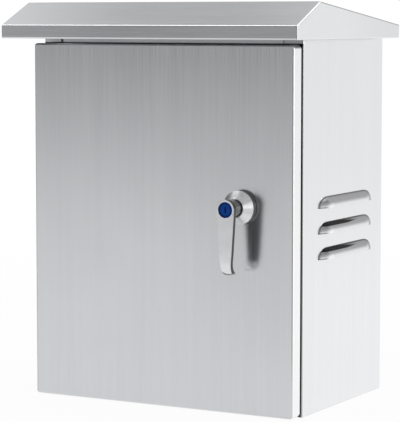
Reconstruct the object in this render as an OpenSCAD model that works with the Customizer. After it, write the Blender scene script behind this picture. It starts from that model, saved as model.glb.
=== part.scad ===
// Outdoor distribution box in folded stainless sheet.
// It has a rain hood, an overlay door on concealed hinges and a turn-handle lock.
// Millimetres. The door faces -Y, +Z is up, and Y = 0 is the wall face.
// The origin is the centre of the four wall holes.

/* [Body] */
// Outside width of the body
body_w = 400; // [340:5:600]
// Outside height of the body, under the hood
body_h = 500; // [420:5:800]
// Depth from the wall face to the front flange
body_d = 248; // [180:2:400]
// Thickness of the stainless sheet
sheet = 1.2; // [1:0.1:1.5]
// Inside radius of the folds
fold_r = 1.3; // [0.8:0.1:2]
// Width of the front flange along the sides and the bottom
flange_w = 30; // [27:1:34]
// How far the sealing rim stands in front of the flange
rim_h = 18; // [14:1:19]
// Width of the seams between the end panels' flanges and the side flanges
flange_seam = 1.6; // [0.6:0.1:2.5]

/* [Louvres] */
// Louvres in each side
louvre_count = 3; // [1:1:5]
// Length of a louvre
louvre_len = 168; // [100:2:170]
// Height of a louvre
louvre_h = 15; // [10:0.5:20]
// How far a louvre stands out of the side
louvre_out = 8; // [5:0.5:10]
// Length of a louvre's rounded end
louvre_end = 28; // [16:1:40]
// Spacing of the louvres
louvre_pitch = 34; // [26:1:50]
// How far the middle louvre's lip lies below the middle of the body
louvre_drop = 13; // [0:1:40]
// How far the louvres lie behind the middle of the sides
louvre_back = 3; // [0:0.5:4]
// Thickness of the foam screen behind the louvres
screen_t = 3; // [2:0.5:6]

/* [Rain hood] */
// Overhang past each side of the body
hood_side = 25; // [15:1:40]
// Overhang in front of the door
hood_front = 42; // [30:1:80]
// Height of the front and rear fascia
fascia_h = 18.5; // [14:0.5:30]
// How far the ridge lies behind the front fascia
ridge_back = 65.5; // [50:0.5:100]
// How far the ridge rises above the fascia
ridge_rise = 30.5; // [20:0.5:50]
// How far the drip edge hangs below the top of the body
hood_lap = 6.5; // [4:0.5:10]
// Outside radius of the hood's edges
hood_r = 2; // [1.6:0.1:4]
// Width of the folded drip edge
hem_w = 12; // [8:1:14]
// Thickness of the brackets under the hood
bracket_t = 2; // [1.5:0.1:3]
// Width of a bracket's foot
bracket_w = 26; // [22:1:34]
// Distance of each bracket's web from the side of the body
bracket_in = 82; // [70:1:110]
// Distance between a bracket's two bolts
bracket_pitch = 130; // [80:5:150]

/* [Door] */
// Depth of the door pan
door_t = 20.5; // [20:0.5:26]
// Gap between the door pan and the front flange
door_gap = 6.2; // [4:0.1:7]
// How far the body shows past each side of the door
door_reveal = 0.6; // [0.5:0.1:3]
// How far the door's bottom edge stands above the bottom of the body
door_foot = 1.5; // [1:0.1:4]
// Height of the strip of body between the door and the drip edge
door_head = 6.5; // [5:0.5:12]
// Corner radius of the door face
door_corner_r = 6; // [3:0.5:8]
// Outside radius of the door's folded edges
door_fold_r = 2.4; // [2:0.1:3]
// Width of the door's folded returns
return_w = 10; // [6:0.5:12]
// Width of the foam gasket
gasket_w = 12; // [8:0.5:13]

/* [Hinges] */
// Hinge axis behind the door face
hinge_in = 10.5; // [10:0.1:11.5]
// Hinge axis from the door's left edge
hinge_side = 6; // [5.8:0.1:7]
// Radius of the knuckles
knuckle_r = 4; // [3.6:0.1:4.3]
// Radius of the hinge pins
pin_r = 2; // [1.6:0.1:2.4]
// Length of a hinge along its pin
hinge_len = 50; // [40:1:60]
// Thickness of the hinge leaves
leaf_t = 2; // [1.5:0.1:2]
// Distance of each hinge from the door's nearer end
hinge_end = 75; // [60:1:120]

/* [Lock] */
// Lock axis from the door's right edge
lock_inset = 76; // [60:0.5:90]
// Lock axis above the door's bottom edge
lock_up = 274; // [200:1:330]
// Radius of the rosette
rosette_r = 22.5; // [20:0.5:26]
// Height of the rosette's cylindrical rim
rosette_rim = 8.5; // [6:0.1:10]
// Rise of the rosette's turned cone
rosette_rise = 9; // [6:0.1:10]
// Radius of the threaded barrel
barrel_r = 11; // [10:0.1:11.5]
// Radius of the handle's round head
hub_r = 12.9; // [12:0.1:14]
// Radius of the handle's neck
neck_r = 10.4; // [9.5:0.1:11]
// How far the head's front stands in front of the door
hub_front = 44.5; // [40:0.5:55]
// Thickness of the lever
lever_t = 6; // [4:0.5:6]
// Length of the lever from the lock axis to its tip
lever_len = 85; // [70:1:100]
// Width of the lever at its knee
lever_knee_w = 17.8; // [17:0.2:22]
// Width of the lever at its tip
lever_tip_w = 13.4; // [10:0.2:15]
// Distance of the lever's knee from the lock axis
lever_knee = 60; // [45:1:60]
// Outside radius of the lever's curled end
curl_r = 24; // [20:0.5:32]
// Length of the lever's curled end
lever_curl = 18; // [10:0.5:20]
// Radius of the key plug's cap
plug_r = 10.3; // [9:0.1:11]
// Radius of the key plug's barrel
key_r = 7.2; // [6.5:0.1:7.5]
// Width of the keyway
key_w = 2.4; // [1.5:0.1:3]
// Height of the keyway
key_h = 8.5; // [6:0.1:10]
// Thickness of the cam
cam_t = 3; // [2:0.5:4]
// Width of the cam
cam_w = 20; // [16:1:24]

/* [Inside] */
// Wall holes, distance across
wall_hole_x = 310; // [240:5:320]
// Wall holes, distance up
wall_hole_z = 380; // [300:5:384]
// Radius of the wall holes
wall_hole_r = 4.5; // [3:0.1:6]
// Width of the mounting plate
plate_w = 330; // [280:5:336]
// Height of the mounting plate
plate_h = 400; // [330:5:410]
// Thickness of the mounting plate
plate_t = 2; // [1.5:0.1:3]
// Corner notch of the mounting plate
notch = 25; // [22:1:30]
// Length of the collars that carry the mounting plate
collar_len = 16; // [10:1:30]
// Width of the cable opening in the bottom
entry_w = 200; // [160:2:220]
// Depth of the cable opening in the bottom
entry_d = 70; // [60:2:100]
// Border of the gland plate around the cable opening
entry_border = 15; // [13:1:18]
// Thickness of the gland plate
gland_t = 1.5; // [1:0.1:2.5]
// Thickness of the gland plate's gasket
gland_seal = 2; // [1:0.1:3]
// Radius of the cable hole in a grommet
cable_r = 10; // [6:0.5:11]
// Distance between the two cable holes
cable_pitch = 110; // [60:2:116]

/* [Hidden] */
$fn = 64;
cut = 1;
run_gap = 0.05;
slip_gap = 0.3;
seam = 0.6;
edge_flats = 6;
skin_r = fold_r + sheet;
body_top = body_h / 2;
body_foot = -body_h / 2;
flange_y = -body_d;
door_w = body_w - 2 * door_reveal;
door_z0 = body_foot + door_foot;
door_z1 = body_top - hood_lap - door_head;
door_h = door_z1 - door_z0;
door_zc = (door_z0 + door_z1) / 2;
door_y = flange_y - door_gap - door_t;
rim_x = body_w / 2 - flange_w;
rim_inset = flange_w - door_reveal;
rim_z0 = door_z0 + rim_inset;
rim_z1 = door_z1 - rim_inset;
rim_y = flange_y - rim_h;
gasket_t = rim_y - slip_gap - door_y - sheet;
hood_w = body_w + 2 * hood_side;
hood_y = door_y - hood_front;
hood_z0 = body_top - hood_lap;
hood_z1 = hood_z0 + fascia_h;
ridge_y = hood_y + ridge_back;
front_slope = atan2(ridge_rise, ridge_back);
rear_slope = atan2(ridge_rise, -ridge_y);
bracket_y = flange_y / 2;
bracket_len = bracket_pitch + 60;
bracket_x = body_w / 2 - bracket_in;
louvre_arc = (louvre_out * louvre_out + louvre_h * louvre_h) / (2 * louvre_out);
louvre_core = louvre_arc - louvre_out;
louvre_turn = (louvre_end * louvre_end - louvre_out * louvre_out) / (2 * louvre_out);
louvre_y = flange_y / 2 + louvre_back;
louvre_sweep = 80;
screen_edge = 12;
louvre_merge = 1;
hinge_x = -door_w / 2 + hinge_side;
hinge_y = door_y + hinge_in;
hinge_z = [door_z0 + hinge_end, door_z1 - hinge_end];
hinge_screw_x = hinge_x + flange_w / 4;
hinge_screw_z = hinge_len / 2 + 6;
hinge_plate_h = hinge_len + 26;
knuckle_share = 0.4;
knuckle_mid = knuckle_share * hinge_len;
hinge_room = 1.5;
leaf_w = 12;
lock_x = door_w / 2 - lock_inset;
lock_z = door_z0 + lock_up;
lock_seal_t = 1;
rosette_z = lock_seal_t + rosette_rim + rosette_rise;
barrel_end = -20;
rosette_edge = 0.8;
well_r = neck_r + 1.3;
well_d = 3;
hub_z = rosette_z - well_d + slip_gap;
lock_nut_r = 17;
lock_washer_r = 16;
lock_nut_h = 6;
journal_r = 7;
drive = 8;
tenon_r = 5;
tenon_h = 12;
cam_gap = 2.5;
cam_z = door_y - (flange_y + sheet + cam_gap);
cam_reach = rim_x - lock_x + 12;
cap_t = 2;
cap_sink = 0.6;
cap_groove = 0.5;
cap_ring = 0.72;
plug_len = 12;
plug_z = hub_front - cap_sink - cap_t - plug_len;
key_floor = 3;
lever_step = 0.4;
lever_front = hub_front - lever_step;
lever_wall = 2;
tip_r = 4;
cam_screw_len = 14;
washer_t = 1.2;
washer_ratio = 2;
seal_ratio = 2.5;
weld_ratio = 1.6;
screw_head = 2.2;
head_ratio = 0.8;
thread_end = 2;
weld_base = 3;
hood_seal = 2;
m4 = [2, 3.5, 3.2];
m5 = [2.5, 4.6, 4];
m6 = [3, 5.8, 5];
m8 = [4, 7.5, 6.5];
stud_x = plate_w / 2 - 15;
stud_z = plate_h / 2 - notch - 17;
collar_r = 7;
entry_y = flange_y * 0.45;
gland_z = body_foot + sheet + gland_seal;
gland_top = gland_z + gland_t;
entry_r = 4;
gland_stud_x = entry_w / 2 + entry_border / 2;
gland_stud_y = entry_d / 2 + entry_border / 2;
grommet_neck = 14;
grommet_lip = 18;
grommet_cone = 6;
earth_z = body_foot + 60;
earth_y = flange_y * 0.4;
door_earth_x = hinge_x + 60;
door_earth_z = door_z0 + 60;

// Sheet profiles

// Sector of a fold from angle a over the angle sweep
module fold_sector(a, sweep) {
    reach = 2 * skin_r;
    half = reach / cos(sweep / 2);
    intersection() {
        difference() {
            circle(r = skin_r);
            circle(r = fold_r);
        }
        polygon([[0, 0], reach * [cos(a), sin(a)],
            half * [cos(a + sweep / 2), sin(a + sweep / 2)], reach * [cos(a + sweep), sin(a + sweep)]]);
    }
}

// Folded strip whose skin is on the left of its path: each step is a length and a right-angle turn
module folded(steps, i = 0) {
    run = steps[i][0];
    turn = steps[i][1];
    translate([0, -sheet]) square([run, sheet]);
    if (turn < 0) {
        translate([run, -skin_r]) fold_sector(0, 90);
        translate([run + skin_r, -skin_r]) rotate(-90) folded(steps, i + 1);
    }
    if (turn > 0) {
        translate([run, fold_r]) fold_sector(-90, 90);
        translate([run + fold_r, fold_r]) rotate(90) folded(steps, i + 1);
    }
}

// Rectangle with rounded corners, centred
module round_rect(w, h, r) {
    square([w - 2 * r, h], center = true);
    square([w, h - 2 * r], center = true);
    for (sx = [-1, 1], sy = [-1, 1]) translate([sx * (w / 2 - r), sy * (h / 2 - r)]) circle(r = r);
}

// Places children drawn along +Z so that they run along +Y
module along_y(x, y, z) {
    translate([x, y, z]) rotate([-90, 0, 0]) children();
}

// Places children in the lock's frame: +Z out of the door, +Y up
module at_lock() {
    translate([lock_x, door_y, lock_z]) rotate([90, 0, 0]) children();
}

module ring(r, hole, h) {
    difference() {
        cylinder(r = r, h = h);
        translate([0, 0, -cut]) cylinder(r = hole, h = h + 2 * cut);
    }
}

// Hexagon nut of a thread size [radius, corner radius, height]
module hex_nut(m) {
    difference() {
        cylinder(r = m[1], h = m[2], $fn = 6);
        translate([0, 0, -cut]) cylinder(r = m[0] + run_gap, h = m[2] + 2 * cut);
    }
}

module hex_bolt(m, shank) {
    cylinder(r = m[1], h = m[2] * head_ratio, $fn = 6);
    translate([0, 0, m[2] * head_ratio]) cylinder(r = m[0], h = shank);
}

// Body

module quarter_disc(r) {
    intersection() {
        circle(r = r);
        square(2 * r);
    }
}

// Space under one louvre, grown to radius r, from depth x0 outwards
module louvre_space(r, x0) {
    straight = louvre_len - 2 * louvre_end;
    deep = louvre_turn - louvre_core;
    intersection() {
        union() {
            translate([-louvre_core, straight / 2, 0]) rotate([90, 0, 0])
                linear_extrude(straight) quarter_disc(r);
            for (s = [0, 1]) mirror([0, s, 0]) translate([-louvre_turn, straight / 2, 0])
                rotate([0, 0, -louvre_merge]) rotate_extrude(angle = louvre_sweep)
                    translate([deep, 0]) quarter_disc(r - run_gap);
        }
        translate([x0, -louvre_len, -cut]) cube([3 * louvre_h, 2 * louvre_len, 3 * louvre_h]);
    }
}

module each_louvre() {
    for (s = [0, 1], i = [0:louvre_count - 1]) {
        lip_z = (i - (louvre_count - 1) / 2) * louvre_pitch - louvre_drop;
        mirror([s, 0, 0]) translate([body_w / 2, louvre_y, lip_z]) children();
    }
}

module body_wrap() {
    rim_run = rim_h - fold_r;
    flange_run = flange_w - fold_r - skin_r;
    side_run = body_d - 2 * skin_r;
    color("lightgrey") difference() {
        union() {
            difference() {
                translate([-rim_x, rim_y, body_foot]) linear_extrude(body_h) rotate(90)
                    folded([[rim_run, 1], [flange_run, -1], [side_run, -1], [body_w - 2 * skin_r, -1],
                        [side_run, -1], [flange_run, 1], [rim_run, 0]]);
                translate([0, 0, rim_z1 - sheet]) rim_relief();
                translate([0, 0, rim_z0 + sheet]) mirror([0, 0, 1]) rim_relief();
            }
            each_louvre() louvre_space(louvre_arc, -sheet / 2);
        }
        each_louvre() louvre_space(louvre_arc - sheet, -2 * sheet);
        for (sx = [-1, 1], sz = [-1, 1]) along_y(sx * wall_hole_x / 2, -sheet - cut, sz * wall_hole_z / 2)
            cylinder(r = wall_hole_r, h = sheet + 2 * cut);
        each_hinge_screw() translate([0, 0, -cut]) cylinder(r = m4[0] + slip_gap, h = sheet + 2 * cut);
    }
}

// Foam screen that covers the louvres of the right side from inside
module vent_screen() {
    screen_h = (louvre_count - 1) * louvre_pitch + louvre_h + screen_edge;
    translate([body_w / 2 - sheet - screen_t, louvre_y, louvre_h / 2 - louvre_drop]) rotate([90, 0, 90])
        linear_extrude(screen_t) round_rect(louvre_len + screen_edge, screen_h, screen_edge / 2);
}

module vent_screen_right() {
    color("dimgrey") vent_screen();
}

module vent_screen_left() {
    color("dimgrey") mirror([1, 0, 0]) vent_screen();
}

// Room for an end panel's flange and rim between the side flanges
module rim_relief() {
    half = rim_x + fold_r;
    translate([-half, rim_y - cut, 0]) cube([2 * half, rim_h + sheet + 2 * cut, body_h]);
}

// Panel that closes one end of the wrap, drawn for the top with its outer face at Z = 0:
// plate, front flange and rim, fitted between the side flanges with a narrow seam
module end_panel(flange_h) {
    flange_half = rim_x + fold_r - flange_seam;
    difference() {
        translate([0, flange_y / 2, -sheet]) linear_extrude(sheet)
            round_rect(body_w - 2 * sheet, body_d - 2 * sheet, fold_r + seam);
        translate([-flange_half, flange_y, -2 * sheet]) cube([2 * flange_half, skin_r, 3 * sheet]);
    }
    translate([-flange_half, rim_y, -flange_h]) rotate([90, 0, 90]) linear_extrude(2 * flange_half)
        folded([[rim_h - fold_r, 1], [flange_h - fold_r - skin_r, -1], [body_d - skin_r - sheet, 0]]);
}

module top_panel() {
    color("gainsboro") difference() {
        translate([0, 0, body_top]) end_panel(body_top - rim_z1);
        each_hood_bolt() translate([0, 0, -sheet - cut]) cylinder(r = m6[0] + slip_gap, h = sheet + 2 * cut);
    }
}

module bottom_panel() {
    color("gainsboro") difference() {
        translate([0, 0, body_foot]) mirror([0, 0, 1]) end_panel(rim_z0 - body_foot);
        translate([0, entry_y, body_foot - cut]) linear_extrude(sheet + 2 * cut)
            round_rect(entry_w, entry_d, entry_r);
    }
}

// Rain hood

// Side outline of the hood, moved inwards by s
function hood_ridge(s) = (hood_y * tan(front_slope) + s / cos(front_slope) - s / cos(rear_slope))
    / (tan(front_slope) + tan(rear_slope));
function hood_rear(y, s) = hood_z1 - y * tan(rear_slope) - s / cos(rear_slope);
function hood_outline(s) = [
    [hood_y + s, hood_z0 + s],
    [hood_y + s, hood_z1 + s * tan(front_slope) - s / cos(front_slope)],
    [hood_ridge(s), hood_rear(hood_ridge(s), s)],
    [-s, hood_rear(-s, s)],
    [-s, hood_z0 + s]];

// Outward normal of the edge that leaves corner i of a clockwise outline
function edge_out(p, i) = let (d = p[(i + 1) % len(p)] - p[i]) [-d[1], d[0]] / norm(d);

// Clockwise outline p grown by r, with corners rounded by a few flats
function grown(p, r) = [for (i = [0:len(p) - 1], k = [0:edge_flats])
    let (before = edge_out(p, (i + len(p) - 1) % len(p)), after = edge_out(p, i))
    let (a = atan2(before[1], before[0]) - acos(before * after) * k / edge_flats)
        p[i] + r * [cos(a), sin(a)]];

// Corners of a rectangle, clockwise
function rect_corners(w, h) = [[-w, -h] / 2, [-w, h] / 2, [w, h] / 2, [w, -h] / 2];

// Rectangle as wide as the hood with rounded corners, centred
module hood_section(h) {
    polygon(grown(rect_corners(hood_w - 2 * hood_r, h - 2 * hood_r), hood_r));
}

// Long bar under a roof plane through [y, z] at the given slope, with rounded long edges
module roof_bar(y, z, slope) {
    bar_h = body_h;
    translate([0, y, z]) rotate([slope, 0, 0]) rotate([90, 0, 0])
        linear_extrude(4 * body_d, center = true) translate([0, -bar_h / 2]) hood_section(bar_h);
}

// Outside of the hood, with every edge rounded
module hood_block() {
    intersection() {
        translate([-hood_w / 2, 0, 0]) rotate([90, 0, 90]) linear_extrude(hood_w)
            polygon(grown(hood_outline(hood_r), hood_r));
        translate([0, hood_y / 2, hood_z0 - cut]) linear_extrude(fascia_h + ridge_rise + 2 * cut)
            hood_section(-hood_y);
        roof_bar(hood_y, hood_z1, front_slope);
        roof_bar(0, hood_z1, -rear_slope);
        translate([0, hood_y / 2, hood_z0]) mirror([0, 0, 1]) roof_bar(0, 0, 0);
    }
}

module rain_hood() {
    color("silver") difference() {
        hood_block();
        translate([sheet - hood_w / 2, 0, 0]) rotate([90, 0, 90]) linear_extrude(hood_w - 2 * sheet)
            polygon(hood_outline(sheet));
        translate([hem_w - hood_w / 2, hood_y + hem_w, hood_z0 - cut])
            cube([hood_w - 2 * hem_w, -hood_y - 2 * hem_w, sheet + 2 * cut]);
        translate([-body_w / 2 - slip_gap, flange_y, hood_z0 - cut])
            cube([body_w + 2 * slip_gap, body_d + cut, hood_lap + cut]);
    }
}

// Puts children on the top face of the body at each hood bolt
module each_hood_bolt() {
    for (sx = [-1, 1], sy = [-1, 1])
        translate([sx * (bracket_x + bracket_w / 2), bracket_y + sy * bracket_pitch / 2, body_top])
            children();
}

// Right-hand bracket: a foot on the body and a web cut to the rear slope
module hood_bracket() {
    y0 = bracket_y - bracket_len / 2;
    y1 = bracket_y + bracket_len / 2;
    difference() {
        union() {
            translate([bracket_x, 0, 0]) rotate([90, 0, 90]) linear_extrude(bracket_t)
                polygon([[y0, body_top], [y0, hood_rear(y0, sheet + run_gap)],
                    [y1, hood_rear(y1, sheet + run_gap)], [y1, body_top]]);
            translate([bracket_x, y0, body_top]) cube([bracket_w, bracket_len, bracket_t]);
        }
        each_hood_bolt() translate([0, 0, -cut]) cylinder(r = m6[0] + slip_gap, h = bracket_t + 2 * cut);
    }
}

module hood_bracket_right() {
    color("silver") hood_bracket();
}

module hood_bracket_left() {
    color("silver") mirror([1, 0, 0]) hood_bracket();
}

module hood_bolts() {
    head = m6[2] * head_ratio;
    color("slategrey") each_hood_bolt() translate([0, 0, -sheet - hood_seal - head])
        hex_bolt(m6, hood_seal + sheet + bracket_t + m6[2] + thread_end);
}

module hood_seal_washers() {
    color("dimgrey") each_hood_bolt() translate([0, 0, -sheet - hood_seal])
        ring(seal_ratio * m6[0], m6[0] + slip_gap, hood_seal);
}

module hood_nuts() {
    color("slategrey") each_hood_bolt() translate([0, 0, bracket_t]) hex_nut(m6);
}

// Door

// Door pan's outside moved inwards by s, open at the back when deep is past the door's depth
module door_block(s, deep) {
    w = door_w - 2 * s;
    h = door_h - 2 * s;
    r = door_fold_r - s;
    intersection() {
        along_y(0, door_y + s, door_zc) linear_extrude(deep) round_rect(w, h, door_corner_r - s);
        translate([0, door_y + s + deep, door_z0 - cut]) linear_extrude(door_h + 2 * cut)
            round_rect(w, 2 * deep, r);
        translate([-door_w / 2 - cut, door_y + s + deep, door_zc]) rotate([90, 0, 90])
            linear_extrude(door_w + 2 * cut) round_rect(2 * deep, h, r);
    }
}

module door_panel() {
    notch_y = hinge_in - knuckle_r - hinge_room;
    notch_h = hinge_plate_h + 4 * hinge_room;
    color("silver") difference() {
        door_block(0, door_t);
        door_block(sheet, door_t - 2 * sheet);
        along_y(0, door_y + door_t - 2 * sheet, door_zc) linear_extrude(2 * sheet + cut)
            square([door_w - 2 * return_w, door_h - 2 * return_w], center = true);
        for (z = hinge_z) translate([-door_w / 2 - cut, door_y + notch_y, z - notch_h / 2])
            cube([return_w + 3 * cut, door_t, notch_h]);
        at_lock() translate([0, 0, -sheet - cut]) cylinder(r = barrel_r + slip_gap, h = sheet + 2 * cut);
    }
}

module door_gasket() {
    mid_w = 2 * rim_x - sheet;
    mid_h = rim_z1 - rim_z0 - sheet;
    color("dimgrey") along_y(0, door_y + sheet, door_zc) linear_extrude(gasket_t) difference() {
        round_rect(mid_w + gasket_w, mid_h + gasket_w, gasket_w);
        round_rect(mid_w - gasket_w, mid_h - gasket_w, gasket_w / 3);
    }
}

// Hinges

module hinge_bore(z, r) {
    translate([hinge_x, hinge_y, z - hinge_len]) cylinder(r = r, h = 2 * hinge_len);
}

module hinge_body_leaf(z) {
    difference() {
        union() {
            translate([hinge_x - knuckle_r, flange_y - leaf_t, z - hinge_plate_h / 2])
                cube([knuckle_r + leaf_w, leaf_t, hinge_plate_h]);
            translate([hinge_x - leaf_t, hinge_y, z - knuckle_mid / 2])
                cube([2 * leaf_t, flange_y - hinge_y - leaf_t / 2, knuckle_mid]);
            translate([hinge_x, hinge_y, z - knuckle_mid / 2]) cylinder(r = knuckle_r, h = knuckle_mid);
        }
        hinge_bore(z, pin_r + run_gap);
        for (s = [-1, 1]) along_y(hinge_screw_x, flange_y - leaf_t - cut, z + s * hinge_screw_z)
            cylinder(r = m4[0] + slip_gap, h = leaf_t + 2 * cut);
    }
}

module hinge_door_leaf(z) {
    end_h = (hinge_len - knuckle_mid) / 2 - slip_gap;
    difference() {
        union() {
            translate([hinge_x - knuckle_r / 2, door_y + sheet, z - hinge_len / 2])
                cube([knuckle_r / 2 + leaf_w, leaf_t, hinge_len]);
            for (z0 = [-hinge_len / 2, hinge_len / 2 - end_h]) {
                translate([hinge_x - leaf_t, door_y + sheet, z + z0])
                    cube([2 * leaf_t, hinge_in - sheet, end_h]);
                translate([hinge_x, hinge_y, z + z0]) cylinder(r = knuckle_r, h = end_h);
            }
        }
        hinge_bore(z, pin_r + run_gap);
    }
}

module hinge_pin(z) {
    translate([hinge_x, hinge_y, z - hinge_len / 2]) cylinder(r = pin_r, h = hinge_len);
    translate([hinge_x, hinge_y, z + hinge_len / 2]) cylinder(r = knuckle_r - leaf_t / 2, h = leaf_t);
}

module upper_hinge_body_leaf() {
    color("grey") hinge_body_leaf(hinge_z[1]);
}

module upper_hinge_door_leaf() {
    color("grey") hinge_door_leaf(hinge_z[1]);
}

module upper_hinge_pin() {
    color("lightsteelblue") hinge_pin(hinge_z[1]);
}

module lower_hinge_body_leaf() {
    color("grey") hinge_body_leaf(hinge_z[0]);
}

module lower_hinge_door_leaf() {
    color("grey") hinge_door_leaf(hinge_z[0]);
}

module lower_hinge_pin() {
    color("lightsteelblue") hinge_pin(hinge_z[0]);
}

module each_hinge_screw() {
    for (z = hinge_z, s = [-1, 1]) along_y(hinge_screw_x, flange_y, z + s * hinge_screw_z) children();
}

module hinge_screws() {
    color("slategrey") each_hinge_screw() {
        translate([0, 0, -leaf_t - screw_head]) cylinder(r = m4[1], h = screw_head);
        translate([0, 0, -leaf_t]) cylinder(r = m4[0], h = leaf_t + sheet + m4[2] + thread_end);
    }
}

module hinge_nuts() {
    color("slategrey") each_hinge_screw() translate([0, 0, sheet]) hex_nut(m4);
}

// Lock

module lock_seal() {
    color("dimgrey") at_lock() ring(rosette_r - slip_gap, barrel_r + slip_gap, lock_seal_t);
}

module lock_rosette() {
    rim_z = lock_seal_t + rosette_rim;
    bore = journal_r + run_gap;
    color("silver") at_lock() rotate_extrude() polygon([
        [bore, barrel_end], [barrel_r, barrel_end], [barrel_r, lock_seal_t], [rosette_r, lock_seal_t],
        [rosette_r, rim_z - rosette_edge], [rosette_r - rosette_edge, rim_z],
        [well_r + rosette_edge, rosette_z], [well_r, rosette_z],
        [well_r, rosette_z - well_d], [bore, rosette_z - well_d]]);
}

module lock_washer() {
    color("slategrey") at_lock() translate([0, 0, -sheet - washer_t])
        ring(lock_washer_r, barrel_r + slip_gap, washer_t);
}

module lock_nut() {
    color("slategrey") at_lock() translate([0, 0, -sheet - washer_t - lock_nut_h])
        hex_nut([barrel_r, lock_nut_r, lock_nut_h]);
}

// Side outline of the lever: straight, then curled back towards the door
module lever_side() {
    curl_y = lever_curl - lever_len;
    translate([curl_y, lever_front - lever_t]) square([-curl_y, lever_t]);
    translate([curl_y, lever_front - curl_r]) intersection() {
        difference() {
            circle(r = curl_r);
            circle(r = curl_r - lever_t);
        }
        translate([-curl_r, 0]) square(curl_r);
    }
}

// Front outline of the lever, tapering in two stages to a rounded tip
module lever_face() {
    tip_y = tip_r - lever_len;
    tip_x = lever_tip_w / 2;
    polygon([[-hub_r, 0], [hub_r, 0], [lever_knee_w / 2, -lever_knee], [tip_x, tip_y],
        [-tip_x, tip_y], [-lever_knee_w / 2, -lever_knee]]);
    translate([tip_r - tip_x, -lever_len]) square([lever_tip_w - 2 * tip_r, tip_r]);
    for (s = [-1, 1]) translate([s * (tip_x - tip_r), tip_y]) circle(r = tip_r);
}

// Half the lever's width at a distance d from the lock axis
function lever_half(d) = d < lever_knee
    ? hub_r + (lever_knee_w / 2 - hub_r) * d / lever_knee
    : (lever_knee_w + (lever_tip_w - lever_knee_w) * (d - lever_knee) / (lever_len - tip_r - lever_knee)) / 2;

// Hollow in the back of the cast lever
module lever_pocket() {
    top = hub_r + lever_wall;
    low = lever_len - lever_curl - lever_wall;
    mid = min(lever_knee, low - cut);
    corners = [[-1, top], [1, top], [1, mid], [1, low], [-1, low], [-1, mid]];
    linear_extrude(lever_front - lever_wall)
        polygon([for (c = corners) [c[0] * (lever_half(c[1]) - lever_wall), -c[1]]]);
}

module lock_handle() {
    color("silver") at_lock() difference() {
        union() {
            translate([0, 0, hub_z]) cylinder(r = neck_r, h = hub_front - hub_z);
            translate([0, 0, lever_front - lever_t]) cylinder(r = hub_r, h = lever_t + lever_step);
            intersection() {
                rotate([90, 0, 90]) linear_extrude(2 * hub_r, center = true) lever_side();
                linear_extrude(hub_front) lever_face();
            }
        }
        lever_pocket();
        translate([0, 0, hub_front - cap_sink - cap_t]) cylinder(r = plug_r + run_gap, h = hub_front);
        translate([0, 0, plug_z - slip_gap]) cylinder(r = key_r + run_gap, h = hub_front);
        translate([0, 0, hub_z - cut]) cylinder(r = tenon_r + run_gap, h = tenon_h + slip_gap + cut);
    }
}

module lock_spindle() {
    color("lightsteelblue") at_lock() difference() {
        union() {
            translate([0, 0, cam_z]) cylinder(r = journal_r, h = hub_z - cam_z);
            translate([0, 0, hub_z]) cylinder(r = tenon_r, h = tenon_h);
            translate([-drive / 2, -drive / 2, cam_z - cam_t + slip_gap]) cube([drive, drive, cam_t]);
        }
        translate([0, 0, cam_z - cam_t]) cylinder(r = m5[0] + run_gap, h = cam_screw_len + cut);
    }
}

module lock_cam() {
    drive_hole = drive + 2 * run_gap;
    end_r = cam_w / 5;
    color("lightsteelblue") at_lock() translate([0, 0, cam_z - cam_t]) linear_extrude(cam_t) difference() {
        union() {
            circle(r = cam_w / 2);
            translate([-cam_w / 2, 0]) square([cam_w, cam_reach - end_r]);
            translate([end_r - cam_w / 2, 0]) square([cam_w - 2 * end_r, cam_reach]);
            for (s = [-1, 1]) translate([s * (cam_w / 2 - end_r), cam_reach - end_r]) circle(r = end_r);
        }
        square(drive_hole, center = true);
    }
}

module cam_washer() {
    color("slategrey") at_lock() translate([0, 0, cam_z - cam_t - washer_t])
        ring(seal_ratio * m5[0], m5[0] + slip_gap, washer_t);
}

module cam_screw() {
    head = m5[2] * head_ratio;
    color("slategrey") at_lock() translate([0, 0, cam_z - cam_t - washer_t - head])
        hex_bolt(m5, cam_screw_len);
}

module key_plug() {
    color("darkkhaki") at_lock() translate([0, 0, plug_z]) difference() {
        cylinder(r = key_r, h = plug_len);
        translate([-key_w / 2, -key_h / 2, key_floor]) cube([key_w, key_h, plug_len]);
    }
}

module plug_cap() {
    groove_r = cap_ring * plug_r;
    color("steelblue") at_lock() translate([0, 0, plug_z + plug_len]) difference() {
        cylinder(r = plug_r, h = cap_t);
        translate([0, 0, cap_t - cap_groove]) ring(groove_r + cap_groove, groove_r, 2 * cap_groove);
        translate([-key_w / 2, -key_h / 2, -cut]) cube([key_w, key_h, cap_t + 2 * cut]);
    }
}

// Mounting plate

// Puts children, drawn along +Z, on the back panel at each plate stud, pointing into the box
module each_plate_stud() {
    for (sx = [-1, 1], sz = [-1, 1])
        translate([sx * stud_x, -sheet, sz * stud_z]) rotate([90, 0, 0]) children();
}

module mounting_plate() {
    color("lightgrey") difference() {
        along_y(0, -sheet - collar_len - plate_t, 0) linear_extrude(plate_t) difference() {
            square([plate_w, plate_h], center = true);
            for (sx = [-1, 1], sy = [-1, 1])
                translate([sx * plate_w / 2, sy * plate_h / 2]) square(2 * notch, center = true);
        }
        each_plate_stud() translate([0, 0, collar_len - cut])
            cylinder(r = m8[0] + slip_gap, h = plate_t + 2 * cut);
    }
}

module plate_studs() {
    color("lightsteelblue") each_plate_stud() {
        cylinder(r = collar_r, h = collar_len);
        translate([0, 0, collar_len]) cylinder(r = m8[0], h = plate_t + washer_t + m8[2] + thread_end);
    }
}

module plate_washers() {
    color("slategrey") each_plate_stud() translate([0, 0, collar_len + plate_t])
        ring(washer_ratio * m8[0], m8[0] + slip_gap, washer_t);
}

module plate_nuts() {
    color("slategrey") each_plate_stud() translate([0, 0, collar_len + plate_t + washer_t]) hex_nut(m8);
}

// Cable entry

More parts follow.
